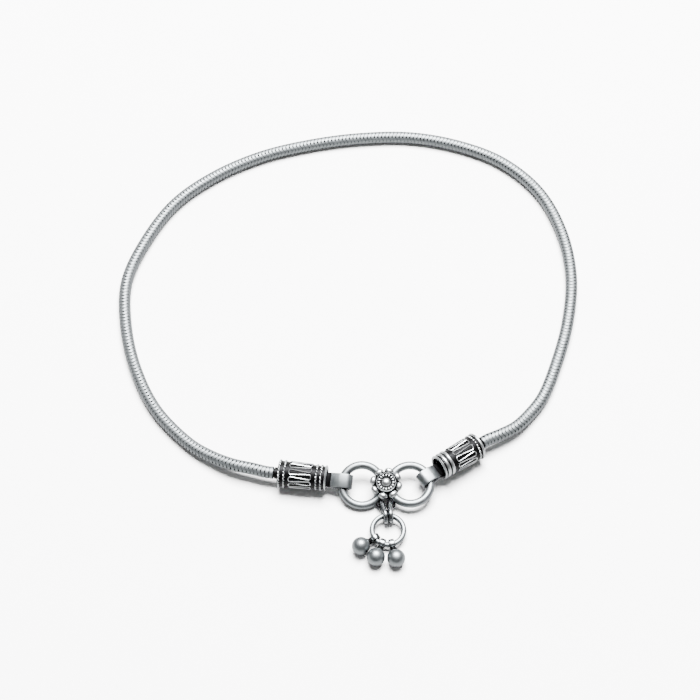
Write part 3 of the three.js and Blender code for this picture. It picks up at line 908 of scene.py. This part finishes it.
@dataclass
class Bail:
    """A double loop of wire through the eye of the flower and round the drop ring."""

    link: FlowerLink
    drop_wire: float = 1.0
    strand_wire: float = 0.86
    spread: float = 1.4
    closed: float = 0.94  # its spread at the drop ring
    step: float = 0.25  # about the longest between two of its points
    span: float = 2.05
    play: float = 0.14
    yaw: float = 8.0

    def near_radius(self) -> float:
        """Gives the radius of its bend round the drop ring."""
        return (self.drop_wire + self.link.bail_wire) / 2 + FIT + self.play

    def near_height(self) -> float:
        """Gives the height of that bend's middle."""
        return self.near_radius() + self.link.bail_wire / 2 + FLOOR_GAP

    def way(self) -> Vector:
        """Gives the direction from the eye to the drop."""
        turn = math.radians(self.yaw)
        return Vector((math.sin(turn), -math.cos(turn), 0))

    def side(self) -> Vector:
        """Gives the direction from one strand to the other."""
        along = self.way()
        return Vector((-along.y, along.x, 0))

    def eye_bar(self) -> Vector:
        """Gives the middle of the eye's bar."""
        layout = self.link.layout
        return Vector((layout.flower_x, layout.flower_y - self.link.eye_reach(), self.link.eye_height))

    def foot(self) -> Vector:
        """Gives the middle of the bend round the drop ring."""
        foot = self.eye_bar() + self.way() * self.span
        foot.z = self.near_height()
        return foot

    def strand(self, way: int) -> list[Vector]:
        """Gives one of its two loops.

        Args:
            way: -1 or 1, for its side.

        Returns:
            The loop's points.
        """
        far, near = self.link.bail_far_radius(), self.near_radius()
        start, along, side = self.eye_bar(), self.way(), self.side()
        rise = self.near_height() - self.link.eye_height
        slope = math.atan2(rise, self.span)
        opening = math.asin((near - far) / math.hypot(self.span, rise))
        half = math.pi / 2
        # Place along the bail, height, radius, first and last angle, and steps of each bend
        bends = [(self.span, self.near_height(), near, -half - opening, half + opening, 22),
                 (0.0, self.link.eye_height, far, half + opening, 3 * half - opening, 18)]
        loop = []
        for forward, height, radius, first, last, steps in bends:
            for k in range(steps + 1):
                angle = slope + first + (last - first) * k / steps
                reach = forward + radius * math.cos(angle)
                share = min(max(reach / self.span, 0.0), 1.0)
                apart = (self.spread + (self.closed - self.spread) * share * share) / 2
                point = Vector((start.x, start.y, height + radius * math.sin(angle)))
                loop.append(point + along * reach + side * (way * apart))
        return self.evened(loop)

    def evened(self, loop: list[Vector]) -> list[Vector]:
        """Adds points on a loop's straight runs, so that its section keeps its shape there.

        Args:
            loop: The loop's points.

        Returns:
            The same points with the added ones between them.
        """
        fuller = []
        for a, b in zip(loop, loop[1:] + loop[:1]):
            cuts = max(1, round((b - a).length / self.step))
            fuller += [a.lerp(b, k / cuts) for k in range(cuts)]
        return fuller

    def build(self) -> None:
        """Makes the bail."""
        loops = Shell()
        for way in (-1, 1):
            loops.loop(self.strand(way), self.side(), round_wire(self.strand_wire, sides=16))
        loops.build("bail", [POLISHED], self.link.layout.origin, "bail")


@dataclass
class DropCluster:
    """The drop ring with its three plain balls."""

    bail: Bail
    ring_radius: float = 2.86
    ball_radius: float = 1.65
    ball_reach: float = 3.05
    eyelet_wall: float = 0.3
    eyelet_width: float = 0.95
    eyelet_lift: float = 0.3
    neck_radius: float = 0.5
    neck_flare: float = 0.3
    ball_angles: tuple[float, ...] = (214.0, 248.0, 284.0)

    def eyelet_inner(self) -> float:
        """Gives the eyelets' inner radius."""
        return self.bail.drop_wire / 2 + 2 * FIT

    def tilt(self) -> float:
        """Gives the ring's tilt in radians, its near side resting in the eyelets."""
        near = self.eyelet_inner() + self.eyelet_wall + self.eyelet_lift
        return math.asin((self.bail.near_height() - near) / (2 * self.ring_radius))

    def across(self) -> Vector:
        """Gives the ring's own far direction."""
        return Vector((0, math.cos(self.tilt()), math.sin(self.tilt())))

    def centre(self) -> Vector:
        """Gives the ring's middle."""
        return self.bail.foot() - self.across() * self.ring_radius

    def find_origin(self) -> Vector:
        """Finds where the layout's own origin lies in the row frame, from the drop ring's node."""
        low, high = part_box("drop_ring")
        return ((low + high) / 2 / MM - self.centre()) * Vector((1, 1, 0))

    def build(self) -> None:
        """Makes the ring and the balls."""
        ring = Shell()
        path = circle(self.centre(), self.ring_radius, RIGHT, self.across(), steps=96)
        ring.loop(path, RIGHT.cross(self.across()), round_wire(self.bail.drop_wire, sides=20))
        ring.build("drop_ring", [SATIN], self.bail.link.layout.origin, "drop_ring")
        for i, angle in enumerate(self.ball_angles):
            self.build_ball(f"ball_drop_{i + 1}", math.radians(angle))

    def build_ball(self, name: str, angle: float) -> None:
        """Makes one ball with its neck and its eyelet round the ring.

        Args:
            name: The piece's name and its node's.
            angle: Where on the ring it hangs.
        """
        across = self.across()
        seat = on_circle(self.centre(), self.ring_radius, RIGHT, across, angle)
        level = math.sqrt(self.ball_reach**2 - (self.ball_radius - seat.z) ** 2)
        middle = Vector((seat.x + level * math.cos(angle), seat.y + level * math.sin(angle),
                         self.ball_radius))
        reach = (middle - seat).normalized()
        axis = square_to(reach, RIGHT * -math.sin(angle) + across * math.cos(angle))
        drop = Shell()
        drop.add(ball(middle, (self.ball_radius,) * 3, steps=56))
        mid, half = self.eyelet_inner() + self.eyelet_wall / 2, self.eyelet_width / 2
        # The eyelet's section, as shares of its half width and half wall, crowned on the outside
        bar = [(half * u, self.eyelet_wall / 2 * v) for u, v in (
            (1, 0.5), (0.93, 0.85), (0.75, 1), (0, 1.12), (-0.75, 1), (-0.93, 0.85), (-1, 0.5),
            (-1, -0.5), (-0.93, -0.85), (-0.75, -1), (0.75, -1), (0.93, -0.85), (1, -0.5))]
        drop.loop(circle(seat, mid, reach, axis.cross(reach), steps=48), axis, bar, finish=1)
        neck, foot = self.neck_radius, self.ball_reach - self.ball_radius
        # Radius and height of the neck, which flares just before the ball and ends inside it. Its
        # blackened finish is partly oxide and partly painted shade, where the neck lies in shade between
        # ball and ring
        drop.add(turned([
            (0, mid), (neck, mid), (neck + 0.08, foot - 0.12), (neck + self.neck_flare, foot + 0.14),
            (0, foot + 0.4)], frame_along(reach, seat), steps=32), finish=2)
        drop.build(name, [SATIN, POLISHED, OXIDISED], self.bail.link.layout.origin, name)


@dataclass
class SnakeChain:
    """A round snake chain of wavy pressed links, from one cap round to the other."""

    layout: LinkLayout
    diameter: float = 2.3
    tuck: float = 1.6
    straight: float = 1.5  # length over which it leaves each cap along the cap's axis
    neck_length: float = 0.7
    link_pitch: float = 0.72
    plate: float = 0.69  # width of a link along the chain
    wave: float = 0.2  # how far a link swings to each side
    notch: float = 0.5  # share of that width that is lost where two links' crests meet
    trough_notch: float = 0.2  # the same between two crests
    notch_power: int = 8  # the higher, the shorter the notches
    edge: float = 0.06  # how far a link's edges lie below its middle
    crown: float = 0.012  # how far it falls before its edges turn down
    crown_share: float = 0.84  # of its width that is crowned
    start_gap: float = 0.37  # from the neck's end to the first link's middle
    calm: float = 2.5  # length over which the swing dies away towards each cap
    waves: int = 4
    bore: float = 0.8
    core_overlap: float = 0.06  # of the core into the links
    around: int = 32
    roll: float = 22.5
    roll_swing: float = 30.0
    # Each point in plan, as in the part's own list, and how much of the way up to the cap's axis it lies
    route: list[tuple[float, float, float]] = field(default_factory=lambda: [
        (28.15, -21.77, 0.7), (31.03, -19.95, 0.45), (33.69, -17.06, 0.15), (36.3, -13.4, 0.08),
        (39.1, -6.4, 0), (41.8, 3.1, 0), (43.0, 13.6, 0), (41.6, 24.1, 0), (37.5, 33.6, 0),
        (30.6, 40.6, 0), (22.6, 44.5, 0), (13.0, 46.7, 0), (2.8, 46.6, 0), (-7.4, 45.0, 0),
        (-17.3, 42.1, 0), (-26.4, 37.3, 0), (-34.0, 30.8, 0), (-39.3, 22.2, 0), (-42.7, 12.6, 0),
        (-42.5, 3.1, 0), (-40.1, -7.1, 0), (-35.8, -16.1, 0), (-29.3, -23.3, 0.1),
        (-25.4, -26.0, 0.35), (-21.4, -28.0, 0.75), (-17.5, -29.1, 0.93)])

    def way(self) -> list[Vector]:
        """Gives the chain's way from inside the right cap to inside the left one."""
        rest = self.diameter / 2
        places = {1: self.layout.place(self.layout.right), -1: self.layout.place(self.layout.left)}
        cap_end = self.layout.cap_length + self.neck_length
        ends = [cap_end - self.tuck, cap_end, cap_end + self.straight]
        points = [places[1].mouth + places[1].axis * out for out in ends]
        for x, y, rise in self.route:
            top = places[1 if x > 0 else -1].end_height
            points.append(Vector((x, y, rest + (top - rest) * rise)))
        points += [places[-1].mouth + places[-1].axis * out for out in reversed(ends)]
        return [Vector((p.x, p.y, max(p.z, rest))) for p in smooth_way(points)]

    def link_profile(self, narrow: float) -> Section:
        """Gives a link's section as radius and place along the chain.

        Args:
            narrow: How much of its full width the link has there.

        Returns:
            The section's points.
        """
        half, outer = self.plate / 2 * narrow, self.diameter / 2
        edge, crown, crown_half = outer - self.edge, outer - self.crown, half * self.crown_share
        return [(self.bore, -half), (edge, -half), (crown, -crown_half), (outer, 0.0),
                (crown, crown_half), (edge, half), (self.bore, half)]

    def build(self) -> None:
        """Makes the chain's links and its dark core, blackened silver that shows through the gaps between
        links as oxide and painted shade.
        """
        way = even_steps(self.way(), self.link_pitch)
        links = Shell()
        hidden = math.ceil((self.tuck + self.start_gap) / self.link_pitch)
        count = len(way)
        for i in range(hidden, count - hidden):
            tangent = (way[i + 1] - way[i - 1]).normalized()
            side = tangent.cross(UP).normalized()
            high = side.cross(tangent)
            roll = math.radians(self.roll + self.roll_swing * math.sin(2 * math.pi * i / count))
            shown = min(i - hidden, count - hidden - 1 - i) * self.link_pitch
            wave = self.wave * min(1.0, shown / self.calm)
            rings = []
            for angle in even_turns(self.around):
                swing = math.cos(self.waves * (angle - roll))
                crest, trough = (max(s, 0.0) ** self.notch_power for s in (swing, -swing))
                narrow = 1 - self.notch * crest - self.trough_notch * trough
                out = side * math.cos(angle) + high * math.sin(angle)
                rings.append([way[i] + out * radius + tangent * (wave * swing + place)
                              for radius, place in self.link_profile(narrow)])
            links.add(rings, closed=True)
        # The core is blackened: partly oxide, partly painted shade for the shade inside the gaps between
        # links
        core = self.bore + self.core_overlap
        links.add(swept(way, UP, oval(core, core, sides=16)), finish=1)
        links.build("snake_chain", [PRESSED, OXIDISED], self.layout.origin, "snake_chain")


@dataclass(frozen=True)
class PhotoView:
    """The camera: a long lens that looks down along +Y."""

    aim_x: float = 0.283
    aim_y: float = -2.051
    elevation: float = 59.0
    distance: float = 433.0
    sensor: float = 36.0
    lens: float = 117.2

    def build(self) -> None:
        """Makes the camera and makes it the scene's own."""
        data = bpy.data.cameras.new("photo_view")
        data.sensor_width, data.lens = self.sensor, self.lens
        data.clip_start, data.clip_end = 0.01, 10.0
        camera = add_object("photo_view", data)
        lift = math.radians(self.elevation)
        away = Vector((0, -math.cos(lift), math.sin(lift))) * self.distance
        camera.location = (Vector((self.aim_x, self.aim_y, 0)) + away) * MM
        camera.rotation_euler = (math.pi / 2 - lift, 0, 0)
        bpy.context.scene.camera = camera


@dataclass(frozen=True)
class Softbox:
    """A lamp behind a diffuser, aimed at the anklet."""

    name: str
    place: tuple[float, float, float]  # in metres, as its width and its height are
    width: float
    height: float
    watts: float

    def build(self) -> None:
        """Makes the lamp."""
        data = bpy.data.lights.new(self.name, "AREA")
        data.shape = "RECTANGLE"
        data.size, data.size_y, data.energy = self.width, self.height, self.watts
        lamp = add_object(self.name, data)
        lamp.location = self.place
        lamp.rotation_euler = (-Vector(self.place)).to_track_quat("-Z", "Y").to_euler()


@dataclass(frozen=True)
class Studio:
    """A pale card with soft light from above and behind the anklet."""

    floor_half: float = 1.5  # half the card's side, in metres
    floor_drop: float = 0.03  # of the card below what lies on it
    card: str = "#FBFBFB"
    card_painted_shade: str = "#A0A0A0"  # painted shade: the card's colour in reflections and bounced light, darker than the camera sees it, so that the metal mirrors a shaded card and its edges stand out on the card
    sky: str = "#FFFFFF"
    sky_front: float = 0.1  # strength of the sky on the camera's side
    sky_behind: float = 0.45
    lamp: Softbox = Softbox("softbox_above", (0.04, 0.24, 0.66), width=0.46, height=0.4, watts=60.0)

    def build(self) -> None:
        """Makes the card, the sky and the lamp."""
        self.build_card()
        self.build_sky()
        self.lamp.build()

    def build_card(self) -> None:
        """Makes the card that the anklet lies on."""
        half = self.floor_half
        mesh = bpy.data.meshes.new("card_floor")
        corners = [(-half, -half), (half, -half), (half, half), (-half, half)]
        mesh.from_pydata([(x, y, -self.floor_drop * MM) for x, y in corners], [], [(0, 1, 2, 3)])
        card = bpy.data.materials.new("white_card")
        tree = empty_tree(card)
        # Painted shade: camera rays see the white card, while reflections and bounced light see the
        # darker painted shade colour
        seen = add_node(tree, "ShaderNodeLightPath").outputs["Is Camera Ray"]
        tint = add_node(tree, "ShaderNodeMix", {"data_type": "RGBA"}, {
            "Factor": seen, 6: linear(self.card_painted_shade), 7: linear(self.card)})
        paper = add_node(tree, "ShaderNodeBsdfPrincipled", inputs={
            "Base Color": tint.outputs[2], "Roughness": 0.9})
        add_node(tree, "ShaderNodeOutputMaterial", inputs={"Surface": paper.outputs["BSDF"]})
        mesh.materials.append(card)
        add_object("card_floor", mesh)

    def build_sky(self) -> None:
        """Makes the sky, which is brighter behind the anklet than on the camera's side."""
        world = bpy.data.worlds.new("studio_sky")
        bpy.context.scene.world = world
        tree = empty_tree(world)
        way = add_node(tree, "ShaderNodeTexCoord").outputs["Generated"]
        depth = add_node(tree, "ShaderNodeSeparateXYZ", inputs={"Vector": way}).outputs["Y"]
        strength = add_node(tree, "ShaderNodeMapRange", inputs={
            "Value": depth, "From Min": -1.0, "From Max": 1.0,
            "To Min": self.sky_front, "To Max": self.sky_behind}).outputs["Result"]
        sky = add_node(tree, "ShaderNodeBackground", inputs={
            "Color": linear(self.sky), "Strength": strength})
        add_node(tree, "ShaderNodeOutputWorld", inputs={"Surface": sky.outputs["Background"]})


def main() -> None:
    """Builds the anklet and the studio round it."""
    logging.basicConfig(level=logging.INFO, format="%(message)s")
    PhotoView().build()
    Studio().build()
    layout = LinkLayout()
    link = FlowerLink(layout)
    bail = Bail(link)
    drops = DropCluster(bail)
    layout.origin = drops.find_origin()
    twisted, beaded, plain = RimKind.TWISTED, RimKind.BEADED, RimKind.PLAIN
    left_cap = EndCap("end_cap_left", layout, layout.left, field_start=0.3, field_end=0.773, rims=(
        Rim(0.0, 0.055, plain), Rim(0.088, 0.145, twisted), Rim(0.179, 0.238, twisted),
        Rim(0.833, 0.893, twisted), Rim(0.935, 1.0, twisted)))
    right_cap = EndCap("end_cap_right", layout, layout.right, field_start=0.33, field_end=0.79, rims=(
        Rim(0.0, 0.05, plain), Rim(0.07, 0.16, plain), Rim(0.17, 0.26, plain),
        Rim(0.845, 0.905, beaded), Rim(0.93, 1.0, plain)))
    left_strap = FoldedStrap("strap_left", layout, layout.left)
    right_strap = FoldedStrap("strap_right", layout, layout.right, oxide_and_shade_reach=0.55)
    for made in (SnakeChain(layout), left_cap, right_cap, left_strap, right_strap, link, bail, drops):
        made.build()


if __name__ == "__main__":
    main()
